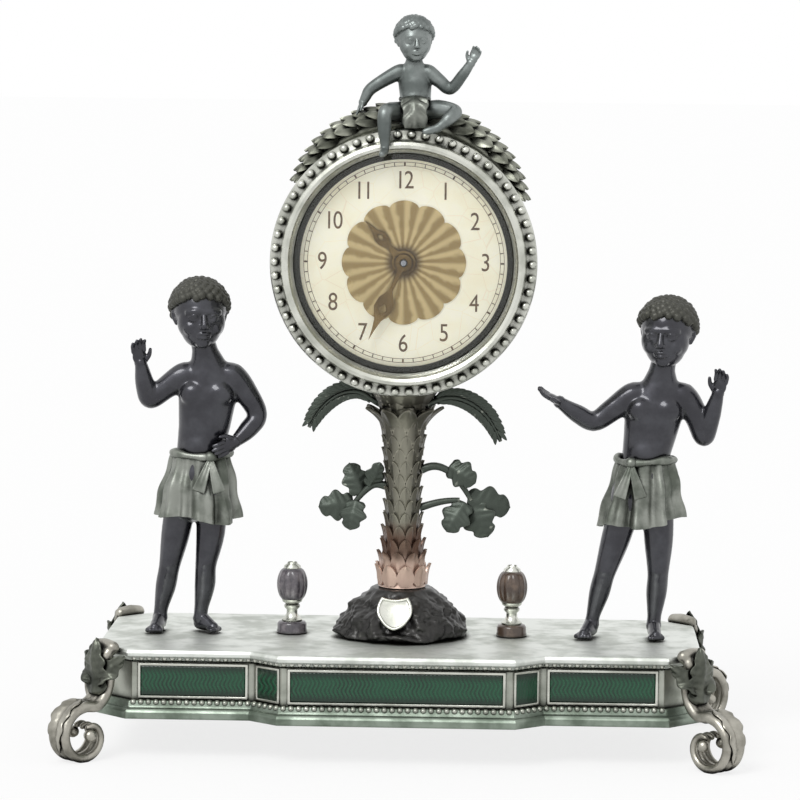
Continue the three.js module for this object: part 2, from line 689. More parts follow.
piece("cartouche", leaning(sheet(shield, -CARTOUCHE_THICKNESS, 0)), "pale_silver");

function trunkRadius(share) {
  const foot = TRUNK_FOOT_RADIUS;
  const head = TRUNK_HEAD_RADIUS;
  const straight = foot + (head - foot) * share;
  const dip = (foot + head) / 2 - TRUNK_WAIST_RADIUS;
  return straight - dip * Math.sin(Math.PI * share ** 0.8);
}
const bark = [[rodBore, trunkBottom]];
for (let i = 0; i < BARK_RINGS; i += 1) {
  const low = trunkBottom + (TRUNK_HEIGHT * i) / BARK_RINGS;
  const high = trunkBottom + (TRUNK_HEIGHT * (i + 1)) / BARK_RINGS;
  bark.push([trunkRadius(i / BARK_RINGS) - 0.5, low]);
  bark.push([trunkRadius((i + 0.8) / BARK_RINGS) + 0.4, high - 0.8]);
}
bark.push([trunkRadius(1) - 0.5, trunkTop], [rodBore, trunkTop], [rodBore, trunkBottom]);
piece("palm_trunk", turnedUp(bark, 10), "palm_bronze");

const drumSaddle = bar(DRUM_RADIUS + SEAT, -DRUM_DEPTH, DRUM_DEPTH, 72).translate(0, 0, DRUM_Z);
const crownTop = crownBottom + CROWN_HEIGHT + 2.4;
const bossRadius = CROWN_RADIUS - 1; // where the fronds spring from the crown
const bossZ = crownBottom + 4;
const crown = cut(
  joined(
    turnedUp(
      [
        [0, crownBottom], [TRUNK_HEAD_RADIUS, crownBottom], [TRUNK_HEAD_RADIUS + 1.2, crownBottom + 1.4],
        [bossRadius, bossZ], [CROWN_RADIUS, crownTop], [0, crownTop],
      ],
      16,
    ),
  ),
  post(rodBore, crownBottom - 1, crownTop + 1),
  drumSaddle,
);
piece("palm_crown", crown, "palm_bronze");

/** Drooping palm frond: a ridged blade bent over in the dial plane. */
function frond(side, span, drop) {
  const rings = [];
  const steps = 7;
  const rootX = bossRadius + SEAT;
  const rootZ = bossZ;
  const spine = new THREE.CubicBezierCurve(
    new THREE.Vector2(rootX, rootZ),
    new THREE.Vector2(rootX + 6, rootZ + 6),
    new THREE.Vector2(span - 1, rootZ + 2),
    new THREE.Vector2(span, rootZ - drop),
  );
  for (let i = 0; i <= steps; i += 1) {
    const t = i / steps;
    const { x, y: z } = spine.getPoint(t);
    const { x: dx, y: dz } = spine.getTangent(t);
    const half = 0.7 + 4.4 * Math.sin(Math.PI * (0.1 + 0.86 * t));
    const sag = half * 1.15;
    const section = [
      [0, 0], [half, sag], [half * 0.8, sag + 1], [0, 1.8], [-half * 0.8, sag + 1], [-half, sag],
    ];
    rings.push(section.map(([y, deep]) => v3(side * (x + dz * deep), y, z - dx * deep)));
  }
  const middle = (ring) => ring[0].clone().add(ring[3]).multiplyScalar(0.5);
  return loft(rings, middle(rings[0]), middle(rings.at(-1)));
}
piece("frond_left", frond(-1, FROND_SPAN - 1, FROND_DROP), "leaf_bronze");
piece("frond_right", frond(1, FROND_SPAN, FROND_DROP + 2), "leaf_bronze");

/** Lobed leaf standing in the dial plane: base at the origin, tip along +X. */
function leafBlade(length, width, tilt, y) {
  const edge = [[0, 0.12], [0.16, 0.66], [0.32, 0.5], [0.5, 1], [0.68, 0.6], [1, 0]];
  const upper = edge.map(([x, h]) => [x * length, (h * width) / 2]);
  const lower = edge.slice(0, -1).reverse().map(([x, h]) => [x * length, (-h * width) / 2]);
  return sheet(outline([...upper, ...lower]), -0.6, 0.6).rotateY(-tilt).translate(0, y, 0);
}

/** Branch with leaves: stem stations, then leaves [x, z, length, width, degrees]. */
function branch(stem, leaves) {
  const blades = leaves.map(([x, z, length, width, turn], i) =>
    leafBlade(length, width, rad(turn), -0.4 + 0.5 * (i % 3)).translate(x, 0, z),
  );
  return joined(limb(stem, 6), ...blades);
}
const bough = trunkBottom + TRUNK_HEIGHT * 0.5;
const nearTrunk = TRUNK_WAIST_RADIUS + 1.2 + SEAT;
piece(
  "branch_left",
  branch(
    [
      [-nearTrunk, 0, bough + 4, 1.1], [-10, 0, bough + 3, 1.1],
      [-13, 0, bough, 0.9], [-15, 0, bough - 3, 0.8],
    ],
    [
      [-10.2, bough + 2.8, 8, 5, 65], [-12.6, bough + 0.4, 10, 8, 112],
      [-14.8, bough - 2.6, 10.5, 9, 185], [-14, bough - 1.5, 9, 8, 258],
    ],
  ),
  "leaf_bronze",
);
piece(
  "branch_right",
  branch(
    [
      [nearTrunk, 0, bough + 9, 1.1], [11.9, 0, bough + 9.6, 1.1],
      [16.9, 0, bough + 6, 1], [20.9, 0, bough + 1, 0.8],
    ],
    [
      [14.5, bough + 7.7, 6.5, 7, 80], [18.5, bough + 4, 13, 10, -8],
      [20.5, bough + 1.5, 11, 10, -60], [18.9, bough + 3.5, 10, 8, -112],
    ],
  ),
  "leaf_bronze",
);

const rodFoot = PLATFORM_BOTTOM - SEAT - NUT_HEIGHT - 1.6;
const rodHead = DRUM_Z - DRUM_RADIUS + DRUM_WALL + SEAT + NUT_HEIGHT + 1;
piece("tie_rod", post(ROD_RADIUS, rodFoot, rodHead), "steel");

/** Hexagon nut with its own bore. */
function nut(radius, hole, low, height) {
  const bore = boreRadius(hole, SEAT, 8);
  return cut(joined(post(radius, low, low + height, 6)), post(bore, low - 1, low + height + 1, 8));
}
const footNutLow = PLATFORM_BOTTOM - SEAT - NUT_HEIGHT;
piece("tie_rod_foot_nut", nut(NUT_RADIUS, ROD_RADIUS, footNutLow, NUT_HEIGHT), "steel");
const headNutLow = DRUM_Z - Math.sqrt((DRUM_RADIUS - DRUM_WALL) ** 2 - NUT_RADIUS ** 2) + SEAT;
piece("tie_rod_head_nut", nut(NUT_RADIUS, ROD_RADIUS, headNutLow, NUT_HEIGHT), "steel");

// Head rings: [y, z, half width, half depth] from the chin up
const HEAD_RINGS = [
  [-3.2, -9.2, 2.6, 2.4], [-2.5, -7.8, 4.5, 4.7], [-1.2, -5, 6, 6.7], [-0.2, -1, 7.3, 8],
  [0.3, 2, 7.8, 8.4], [0.9, 2.7, 8.8, 9.1], [1.3, 6.6, 8.4, 8.8], [1.4, 9.2, 6, 6.6],
];

/** Head with a cap of hair and a nose; it looks along -Y, turned by degrees. */
function headParts(x, y, z, turn, size) {
  const skull = loft(
    HEAD_RINGS.map(([ry, rz, a, b]) => oval(0, ry, rz, a, b, 10)),
    v3(0, -3.2, -9.9),
    v3(0, 1.4, 10.4),
  );
  const nose = limb([[0, -6.6, -0.2, 0.7], [0, -8.2, -2.8, 1.1]], 5);
  return [skull, nose].map((part) => part.scale(size, size, size).rotateZ(rad(turn)).translate(x, y, z));
}

/** Trunk of a body from [x, y, z, half width, half depth] rings. */
function torso(rings, sides = 10) {
  const low = rings[0];
  const high = rings.at(-1);
  return loft(
    rings.map(([x, y, z, a, b]) => oval(x, y, z, a, b, sides)),
    v3(low[0], low[1], low[2] - 1),
    v3(high[0], high[1], high[2] + 1),
  );
}

/** Bare foot: heel and toe at [x, y]. */
function bareFoot(heel, toe) {
  const middle = [(heel[0] + 2 * toe[0]) / 3, (heel[1] + 2 * toe[1]) / 3];
  return limb([[...heel, 1.9, 2.1], [...middle, 1.5, 2.3], [...toe, 1, 1.7]], 7);
}

const soleLevel = PLATFORM_TOP + SEAT;

/** Standing boy: joined parts with flat soles and a stud below one heel. */
function boy(plan) {
  const parts = [
    torso([...plan.hips, ...plan.chest], 9),
    ...plan.legs.map((leg) => limb(leg, 8)),
    ...plan.arms.map((arm) => limb(arm, 7)),
    ...plan.feet.map(([heel, toe]) => bareFoot(heel, toe)),
    ...headParts(...plan.head, 1.06),
  ].map((part) => part.scale(figureScale, figureScale, figureScale));
  const body = cut(joined(...parts).simplify(FORM_TOLERANCE), box(-90, 90, -60, 60, -30, 0));
  const studFoot = PLATFORM_BOTTOM - SEAT - NUT_HEIGHT - 1 - soleLevel;
  const stud = post(STUD_RADIUS, studFoot, 1, 8).translate(...studPlace(0, plan), 0);
  return body.add(solidOf(stud));
}
const leftAt = [leftFigureX, 0, soleLevel];
const rightAt = [rightFigureX, 0, soleLevel];
piece("left_figure", boy(LEFT_BOY), "dark_bronze", object, leftAt);
piece("right_figure", boy(RIGHT_BOY), "dark_bronze", object, rightAt);

/** Short skirt round the hips: flares to the hem, with soft folds, clear of the body inside. */
function skirt(plan, sides = 16) {
  const hips = plan.hips.map((ring) => ring.map((value) => value * figureScale));
  const grow = (ring, wall, dz, fold) => {
    const [x, y, z, a, b] = ring;
    return oval(x, y, z + dz, a + wall, b + wall, sides).map((point, i) => {
      const swell = fold * (i % 2 ? 1 : -1);
      const out = point.clone().sub(v3(x, y, z + dz)).normalize();
      return point.addScaledVector(out, swell);
    });
  };
  const hem = [hips[0][0], hips[0][1], hips[0][2] - 2.4, hips[1][3] + 1.6, hips[1][4] + 1.2];
  const bore = 0.35; // flats of the body and of the skirt stand off from their ovals
  const rows = [hem, hips[1], hips[2], hips[3]];
  const inside = rows.map((ring) => grow(ring, SEAT + bore, 0, 0));
  const outside = rows.map((ring, i) => grow(ring, SEAT + bore + SKIRT_WALL, 0, 0.55 * (1 - i / 4)));
  return frameOf([...inside, ...outside.reverse()]);
}
piece("left_skirt", skirt(LEFT_BOY), "grey_silver", object, leftAt);
piece("right_skirt", skirt(RIGHT_BOY), "grey_silver", object, rightAt);
for (const [side, [x, y]] of [["left", LEFT_STUD], ["right", RIGHT_STUD]]) {
  const figureNut = nut(STUD_NUT_RADIUS, STUD_RADIUS, footNutLow, NUT_HEIGHT);
  piece(`${side}_figure_nut`, figureNut.translate([x, y, 0]), "steel");
}

// Clock head: everything below is measured from the middle of the drum
const head = new THREE.Group();
head.name = "clock_head";
head.position.set(0, 0, DRUM_Z);
object.add(head);
const drumFront = -DRUM_DEPTH / 2;
const drumBack = DRUM_DEPTH / 2;
const drumInner = DRUM_RADIUS - DRUM_WALL;
const dialFront = drumFront + DIAL_DEPTH;
const dialBack = dialFront + DIAL_THICKNESS;
const frontPlateBack = -PLATE_SPACE / 2;
const frontPlateFront = frontPlateBack - MOVEMENT_PLATE;
const backPlateFront = PLATE_SPACE / 2;
const backPlateBack = backPlateFront + MOVEMENT_PLATE;
const flangeFront = frontPlateBack + SEAT;
const doorFront = drumBack + SEAT;
const doorBack = doorFront + DOOR_THICKNESS;

// Hinge on the viewer's left of the back edge, out of sight from the front
const hingeX = -DRUM_RADIUS - HINGE_RADIUS - SEAT;
const hingeY = doorFront + HINGE_RADIUS;
const knuckle = HINGE_LENGTH / 3;
const hingeBore = boreRadius(HINGE_PIN_RADIUS, RUN, 10);
function knuckleAt(low, high) {
  return post(HINGE_RADIUS, low, high, 10).translate(hingeX, hingeY, 0);
}
const pinHole = post(hingeBore, -HINGE_LENGTH, HINGE_LENGTH, 10).translate(hingeX, hingeY, 0);

const drumShell = turned(
  [
    [drumInner, drumFront], [DRUM_RADIUS - 0.8, drumFront], [DRUM_RADIUS, drumFront + 2],
    [DRUM_RADIUS, drumBack - 2], [DRUM_RADIUS - 0.6, drumBack], [drumInner, drumBack],
    [drumInner, flangeFront + 1.6], [drumInner - FLANGE_WIDTH, flangeFront + 1.6],
    [drumInner - FLANGE_WIDTH, flangeFront], [drumInner, flangeFront], [drumInner, drumFront],
  ],
  ROUND,
);
const lugs = [];
const lugRoom = [];
for (const side of [-1, 1]) {
  const [low, high] = [(side * knuckle) / 2 + side * SEAT, (side * HINGE_LENGTH) / 2].sort((a, b) => a - b);
  lugs.push(knuckleAt(low, high));
  lugs.push(box(hingeX, 1.8 - DRUM_RADIUS, drumBack - 2.4, hingeY - 0.4, low, high));
  lugRoom.push(post(HINGE_RADIUS + SEAT + 0.1, low - SEAT, high + SEAT, 14).translate(hingeX, hingeY, 0));
}
const drum = cut(
  joined(drumShell, ...lugs),
  pinHole,
  box(hingeX - 3, 1 - DRUM_RADIUS, drumBack - 0.2, hingeY + 4, -knuckle / 2 - SEAT, knuckle / 2 + SEAT),
  box(-DRUM_RADIUS - 0.35, 3 - DRUM_RADIUS, drumBack, doorBack + 3, -HINGE_LENGTH, HINGE_LENGTH),
  post(boreRadius(ROD_RADIUS, SEAT, 12), -DRUM_RADIUS - 5, -drumInner + 5),
);
piece("drum_case", drum, "grey_silver", head);

const doorDisc = turned(
  [
    [0, doorFront], [DRUM_RADIUS - 0.8, doorFront], [DRUM_RADIUS - 0.2, doorFront + 0.6],
    [DRUM_RADIUS - 1.2, doorBack], [DRUM_RADIUS - 6, doorBack], [DRUM_RADIUS - 7.5, doorBack - 0.6],
    [0, doorBack - 0.6],
  ],
  ROUND,
);
const doorPull = ball(DRUM_RADIUS - 3.4, doorBack + 0.3, 0, 1.6, 1.2, 2.6, 8, 6);
const doorArm = box(hingeX, 3 - DRUM_RADIUS, doorFront + 0.5, hingeY + 0.4, -knuckle / 2, knuckle / 2);
const doorLeaf = cut(joined(doorDisc, doorPull), ...lugRoom);
const door = doorLeaf.add(joined(doorArm, knuckleAt(-knuckle / 2, knuckle / 2)));
piece("back_door", cut(door, pinHole), "grey_silver", head);
const pinHalf = HINGE_LENGTH / 2 + 0.8;
const hingePin = post(HINGE_PIN_RADIUS, -pinHalf, pinHalf, 8).translate(hingeX, hingeY, 0);
piece("door_hinge_pin", hingePin, "steel", head);

// Bezel: beaded ring, glass rebate and a lip that holds the dial
const bezelFront = drumFront - BEZEL_DEPTH;
const glassEdge = drumFront - 2.2;
const lipRadius = GLASS_RADIUS - 1.6;
const spigot = drumInner - SEAT;
piece(
  "bezel",
  turned(
    [
      [BEZEL_RADIUS - 0.6, drumFront - SEAT], [BEZEL_RADIUS, bezelFront + 2.6],
      [BEZEL_RADIUS - 1.4, bezelFront + 0.4], [BEZEL_RADIUS - 3, bezelFront],
      [GLASS_RADIUS + SEAT, bezelFront + 2.4], [GLASS_RADIUS + SEAT, glassEdge + SEAT],
      [lipRadius, glassEdge + SEAT], [lipRadius, dialFront - SEAT],
      [spigot, dialFront - SEAT], [spigot, drumFront - SEAT],
      [BEZEL_RADIUS - 0.6, drumFront - SEAT],
    ],
    ROUND,
  ),
  "pale_silver",
  head,
);
const dome = [];
const domeSteps = 3;
for (let i = 0; i <= domeSteps; i += 1) {
  const t = i / domeSteps;
  dome.push([GLASS_RADIUS * t, glassEdge - GLASS_THICKNESS - GLASS_RISE * (1 - t * t)]);
}
const domeBack = dome.map(([r, y]) => [r, y + GLASS_THICKNESS]).reverse();
piece("bezel_glass", turned([...dome, ...domeBack], 22), "clear_glass", head);

// Dial with two feet that enter the front plate
const dialRadius = drumInner - SEAT - 0.5;
const pipeBore = 3;
const DIAL_FEET = [[-24, 4], [22, -10]];
const dialHole = bar(pipeBore, dialFront - 1, dialBack + 1, 12);
let dial = cut(joined(bar(dialRadius, dialFront, dialBack, ROUND)), dialHole);
for (const [x, z] of DIAL_FEET) {
  dial = dial.add(solidOf(bar(0.8, dialBack - 0.3, frontPlateBack - 0.4, 8).translate(x, 0, z)));
}
piece("dial_plate", dial, "cream_enamel", head);

const petals = [];
const petalSteps = ROSETTE_LOBES * 4;
for (let i = 0; i < petalSteps; i += 1) {
  const a = (i / petalSteps) * TURN;
  const r = ROSETTE_RADIUS - 1.6 + 1.6 * Math.abs(Math.cos((ROSETTE_LOBES * a) / 2));
  petals.push([r * Math.cos(a), r * Math.sin(a)]);
}
const rosetteBack = dialFront - 0.1;
const rosetteFront = rosetteBack - ROSETTE_THICKNESS;
const rosetteHole = bar(pipeBore, rosetteFront - 1, rosetteBack + 1, 12);
const rosette = cut(joined(sheet(outline(petals), rosetteFront, rosetteBack)), rosetteHole);
piece("dial_rosette", rosette, "gilt", head);

// Places of the arbors, each from the one that drives it
const polar = ([x, z], distance, degrees) => [
  x + distance * Math.cos(rad(degrees)),
  z + distance * Math.sin(rad(degrees)),
];
const meshDistance = (module, a, b) => (module * (a + b)) / 2;
const CENTRE = [0, 0];
const BARREL = polar(CENTRE, meshDistance(BARREL_MODULE, BARREL_TEETH, CENTRE_LEAVES), BARREL_ANGLE);
const THIRD = polar(CENTRE, meshDistance(CENTRE_MODULE, CENTRE_TEETH, TRAIN_LEAVES), THIRD_ANGLE);
const FOURTH = polar(THIRD, meshDistance(TRAIN_MODULE, THIRD_TEETH, TRAIN_LEAVES), FOURTH_ANGLE);
const ESCAPE = polar(FOURTH, meshDistance(TRAIN_MODULE, FOURTH_TEETH, TRAIN_LEAVES), ESCAPE_ANGLE);
const LEVER = polar(ESCAPE, LEVER_DISTANCE, LEVER_ANGLE);
const BALANCE = polar(LEVER, BALANCE_DISTANCE, BALANCE_ANGLE);
const motionDistance = meshDistance(MOTION_MODULE, CANNON_LEAVES, MINUTE_WHEEL_TEETH);
const hourModule = (2 * motionDistance) / (MINUTE_LEAVES + HOUR_WHEEL_TEETH);
const MINUTE_WHEEL = polar(CENTRE, motionDistance, MINUTE_WHEEL_ANGLE);

/** Wheel outline with a pointed tooth looking along the given direction, degrees. */
function wheelShape(teeth, module, towards) {
  const radius = (module * teeth) / 2;
  const points = [];
  for (let i = 0; i < teeth * 2; i += 1) {
    const a = rad(towards) + (i / (teeth * 2)) * TURN;
    const r = i % 2 ? radius - 1.6 * module : radius + module;
    points.push([r * Math.cos(a), r * Math.sin(a)]);
  }
  return outline(points);
}

/** Pinion outline with a gap between two leaves looking along the given direction, degrees. */
function pinionShape(leaves, module, towards) {
  const radius = (module * leaves) / 2;
  const pitch = TURN / leaves;
  const points = [];
  for (let i = 0; i < leaves; i += 1) {
    const a = rad(towards) + (i + 0.5) * pitch;
    const low = radius - 1.3 * module;
    const high = radius + 0.4 * module;
    const leaf = [[-0.17, low], [-0.1, high], [0.1, high], [0.17, low]];
    for (const [offset, r] of leaf) {
      points.push([r * Math.cos(a + offset * pitch), r * Math.sin(a + offset * pitch)]);
    }
  }
  return outline(points);
}

/** Opens windows in a wheel so that spokes are left between them. */
function crossed(shape, hub, rim, count) {
  for (let i = 0; i < count; i += 1) {
    const corner = (radius, share) => {
      const a = ((i + share) / count) * TURN;
      return new THREE.Vector2(radius * Math.cos(a), radius * Math.sin(a));
    };
    const window = [
      corner(hub, 0.25), corner(rim, 0.12), corner(rim, 0.5), corner(rim, 0.88), corner(hub, 0.75),
    ];
    shape.holes.push(new THREE.Path(window));
  }
  return shape;
}

const bearing = ([x0, z0], [x1, z1]) => THREE.MathUtils.radToDeg(Math.atan2(z1 - z0, x1 - x0));
const place = ([x, z]) => [x, 0, z];
const pivotFront = frontPlateFront + 0.3;
const pivotBack = backPlateBack - 0.3;

// Levels of the train between the plates
const barrelLevel = frontPlateBack + 1.5;
const centreLevel = backPlateFront - 3.6;
const thirdLevel = -1.2;
const fourthLevel = frontPlateBack + 1.8;
const escapeLevel = 0.8;
const arbor = () => bar(ARBOR_RADIUS, pivotFront, pivotBack, 6);

const barrelRadius = (BARREL_MODULE * BARREL_TEETH) / 2 - 1.5;
const barrelBack = barrelLevel + 7;
const barrelBore = boreRadius(BARREL_ARBOR_RADIUS, RUN, 10);
const barrel = cut(
  joined(
    sheet(wheelShape(BARREL_TEETH, BARREL_MODULE, bearing(BARREL, CENTRE)), barrelLevel, barrelLevel + 1),
    bar(barrelRadius, barrelLevel + 0.9, barrelBack, 20),
  ),
  bar(barrelBore, barrelLevel - 1, barrelBack + 1, 10),
);
piece("mainspring_barrel", barrel, "brass", head, place(BARREL));

const ratchetFront = backPlateBack + 0.4;
const ratchetBack = ratchetFront + 1;
const ratchetTeeth = [];
for (let i = 0; i < RATCHET_TEETH; i += 1) {
  const a = (i / RATCHET_TEETH) * TURN;
  const b = ((i + 0.85) / RATCHET_TEETH) * TURN;
  ratchetTeeth.push([RATCHET_RADIUS * Math.cos(a), RATCHET_RADIUS * Math.sin(a)]);
  ratchetTeeth.push([(RATCHET_RADIUS - 0.9) * Math.cos(b), (RATCHET_RADIUS - 0.9) * Math.sin(b)]);
}
const winder = joined(
  bar(BARREL_ARBOR_RADIUS, pivotFront, ratchetFront + 0.2, 10),
  sheet(outline(ratchetTeeth), ratchetFront, ratchetBack),
  bar(BARREL_ARBOR_RADIUS - 0.2, ratchetBack - 0.2, ratchetBack + 4, 4),
);
piece("winding_arbor", winder, "steel", head, place(BARREL));

const clickPivot = polar(BARREL, RATCHET_RADIUS + 4.4, 100);
const clickRadius = 1.7;
const clickReach = RATCHET_RADIUS + SEAT;
const clickNose = polar(BARREL, clickReach, 62);
const noseX = clickNose[0] - clickPivot[0];
const noseZ = clickNose[1] - clickPivot[1];
const noseLength = Math.hypot(noseX, noseZ);
const clickArm = outline([
  [0, 1.2], [noseLength - 0.4, 1.1], [noseLength, 0.2], [noseLength - 0.8, -0.4], [0, -1.2],
]);
const click = cut(
  joined(
    bar(clickRadius, ratchetFront, ratchetBack, 10),
    sheet(clickArm, ratchetFront, ratchetBack).rotateY(-Math.atan2(noseZ, noseX)),
  ),
  bar(boreRadius(0.8, RUN, 8), ratchetFront - 1, ratchetBack + 1, 8),
);
piece("click", click, "steel", head, place(clickPivot));

const minuteBore = boreRadius(MINUTE_ARBOR_RADIUS, RUN, 8);
const centreRadius = (CENTRE_MODULE * CENTRE_TEETH) / 2;
const centre = cut(
  joined(
    sheet(
      crossed(
        wheelShape(CENTRE_TEETH, CENTRE_MODULE, THIRD_ANGLE), centreRadius * 0.34, centreRadius * 0.78, 4,
      ),
      centreLevel,
      centreLevel + WHEEL_THICKNESS,
    ),
    sheet(pinionShape(CENTRE_LEAVES, BARREL_MODULE, BARREL_ANGLE), barrelLevel - 0.6, barrelLevel + 1.8),
    bar(1.65, barrelLevel + 1.6, centreLevel + 0.2, 10),
  ),
  bar(minuteBore, -20, 20, 8),
);
piece("centre_wheel", centre, "brass", head);

const third = joined(
  sheet(wheelShape(THIRD_TEETH, TRAIN_MODULE, FOURTH_ANGLE), thirdLevel, thirdLevel + WHEEL_THICKNESS),
  sheet(pinionShape(TRAIN_LEAVES, CENTRE_MODULE, THIRD_ANGLE + 180), centreLevel - 0.8, centreLevel + 1.6),
  arbor(),
);
piece("third_wheel", third, "brass", head, place(THIRD));

const fourth = joined(
  sheet(wheelShape(FOURTH_TEETH, TRAIN_MODULE, ESCAPE_ANGLE), fourthLevel, fourthLevel + WHEEL_THICKNESS),
  sheet(pinionShape(TRAIN_LEAVES, TRAIN_MODULE, FOURTH_ANGLE + 180), thirdLevel - 0.8, thirdLevel + 1.6),
  arbor(),
);
piece("fourth_wheel", fourth, "brass", head, place(FOURTH));

const escapeTeeth = [];
for (let i = 0; i < ESCAPE_TEETH; i += 1) {
  const a = (i / ESCAPE_TEETH) * TURN;
  const b = ((i + 0.3) / ESCAPE_TEETH) * TURN;
  escapeTeeth.push([ESCAPE_RADIUS * Math.cos(a), ESCAPE_RADIUS * Math.sin(a)]);
  escapeTeeth.push([(ESCAPE_RADIUS - 1.4) * Math.cos(b), (ESCAPE_RADIUS - 1.4) * Math.sin(b)]);
}
const escape = joined(
  sheet(outline(escapeTeeth), escapeLevel, escapeLevel + 0.6),
  sheet(pinionShape(TRAIN_LEAVES, TRAIN_MODULE, ESCAPE_ANGLE + 180), fourthLevel - 0.8, fourthLevel + 1.6),
  arbor(),
);
piece("escape_wheel", escape, "steel", head, place(ESCAPE));

// Lever: two pallets held just clear of the escape wheel, and a fork towards the balance
const reach = LEVER_DISTANCE - ESCAPE_RADIUS - SEAT;
const span = 3.4;
const fork = BALANCE_DISTANCE - 2.6;
const leverOutline = outline([
  [-0.9, -0.9], [-0.9, -span], [reach, -span], [reach + 0.5, -span + 0.8], [0.6, -span + 1.1],
  [0.6, span - 1.1], [reach + 0.5, span - 0.8], [reach, span], [-0.9, span], [-0.9, 0.9],
  [-fork + 1, 0.6], [-fork, 1.2], [-fork - 0.9, 1.2],
  [-fork, 0.45], [-fork, -0.45], [-fork - 0.9, -1.2], [-fork, -1.2], [-fork + 1, -0.6],
]);
const lever = joined(
  sheet(leverOutline, escapeLevel, escapeLevel + 0.6).rotateY(-rad(LEVER_ANGLE + 180)),
  arbor(),
);
piece("pallet_lever", lever, "steel", head, place(LEVER));

// Balance behind the back plate, carried by its cock
const balanceFront = backPlateBack + 1.3;
const balanceBack = balanceFront + 0.8;
const cockFront = balanceBack + 1.1;
const cockBack = cockFront + 1.2;
const rim = turned(
  [
    [BALANCE_RADIUS - 1, balanceFront], [BALANCE_RADIUS, balanceFront], [BALANCE_RADIUS, balanceBack],
    [BALANCE_RADIUS - 1, balanceBack], [BALANCE_RADIUS - 1, balanceFront],
  ],
  20,
);
const balance = joined(
  rim,
  box(-BALANCE_RADIUS + 0.5, BALANCE_RADIUS - 0.5, balanceFront, balanceBack, -0.6, 0.6),
  bar(1.5, balanceFront, balanceBack, 10),
  bar(1.1, escapeLevel - 0.2, escapeLevel + 0.8, 10),
  bar(ARBOR_RADIUS, pivotFront, cockBack - 0.3, 6),
);
piece("balance_wheel", balance, "brass", head, place(BALANCE));

const cockFoot = polar(BALANCE, BALANCE_RADIUS + 3, 180);
const cockLength = BALANCE[0] - cockFoot[0];
const cockOutline = outline([
  [-2, -2.6], [2, -2.6], [cockLength, -2], [cockLength + 1.8, 0], [cockLength, 2], [2, 2.6], [-2, 2.6],
]);
const cock = cut(
  joined(
    box(-2, 2, backPlateBack + SEAT, cockBack, -2.6, 2.6),
    sheet(cockOutline, cockFront, cockBack),
  ),
  bar(boreRadius(ARBOR_RADIUS, RUN, 8), cockFront - 1, cockBack + 1, 8).translate(cockLength, 0, 0),
);
piece("balance_cock", cock, "brass", head, place(cockFoot));

// Movement plates, bored for every arbor; the pillars are riveted into the back plate
const plateRadius = drumInner - SEAT - 0.4;
const arborHole = boreRadius(ARBOR_RADIUS, RUN, 6);
const barrelHole = boreRadius(BARREL_ARBOR_RADIUS, RUN, 10);
const trainHoles = (front, back) => [
  ...[THIRD, FOURTH, ESCAPE, LEVER, BALANCE].map(([x, z]) =>
    bar(arborHole, front - 1, back + 1, 6).translate(x, 0, z),
  ),
  bar(minuteBore, front - 1, back + 1),
  bar(barrelHole, front - 1, back + 1, 10).translate(BARREL[0], 0, BARREL[1]),
];
const footHole = boreRadius(0.8, RUN, 8);
const footHoles = DIAL_FEET.map(([x, z]) =>
  bar(footHole, frontPlateFront - 1, frontPlateBack + 1).translate(x, 0, z),
);
const [minuteX, minuteZ] = MINUTE_WHEEL;
const minutePost = bar(0.8, frontPlateFront - 4.2, frontPlateFront + 0.2, 8).translate(minuteX, 0, minuteZ);
const frontPlate = cut(
  joined(bar(plateRadius, frontPlateFront, frontPlateBack, ROUND)),
  ...trainHoles(frontPlateFront, frontPlateBack),
  ...footHoles,
).add(solidOf(minutePost));
piece("front_plate", frontPlate, "brass", head);

const PILLARS = [35, 145, 240, 318].map((degrees) => polar(CENTRE, 26, degrees));
const backRadius = drumInner - FLANGE_WIDTH - 1;
const backPlate = cut(
  joined(
    bar(backRadius, backPlateFront, backPlateBack, ROUND),
    ...PILLARS.map(([x, z]) => bar(2, frontPlateBack + SEAT, backPlateFront + 0.2, 10).translate(x, 0, z)),
    bar(0.8, backPlateBack - 0.2, ratchetBack + 0.4, 8).translate(clickPivot[0], 0, clickPivot[1]),
  ),
  ...trainHoles(backPlateFront, backPlateBack),
);
piece("back_plate", backPlate, "brass", head);

// Motion work in front of the front plate
const minuteLevel = frontPlateFront - 1.2;
const hourLevel = minuteLevel - 1.7;
const handGap = 0.35;
const hourHandBack = rosetteFront - handGap;
const hourHandFront = hourHandBack - HAND_THICKNESS;
const minuteHandBack = hourHandFront - 0.6;
const minuteHandFront = minuteHandBack - HAND_THICKNESS;
const cannonRadius = 1.45;
const hourPipeBore = boreRadius(cannonRadius, RUN, 12);
const hourPipe = 2.3;

const minuteRod = joined(
  bar(MINUTE_ARBOR_RADIUS, minuteHandFront - 0.6, backPlateBack + 4.6, 8),
);
piece("minute_arbor", minuteRod, "steel", head);
const cannonBore = boreRadius(MINUTE_ARBOR_RADIUS, RUN, 8);
const cannon = cut(
  joined(
    sheet(
      pinionShape(CANNON_LEAVES, MOTION_MODULE, MINUTE_WHEEL_ANGLE), minuteLevel - 0.3, frontPlateFront - 0.4,
    ),
    bar(cannonRadius, minuteHandBack + 0.3, minuteLevel, 12),
  ),
  bar(cannonBore, -25, 0, 8),
);
piece("cannon_pinion", cannon, "steel", head);

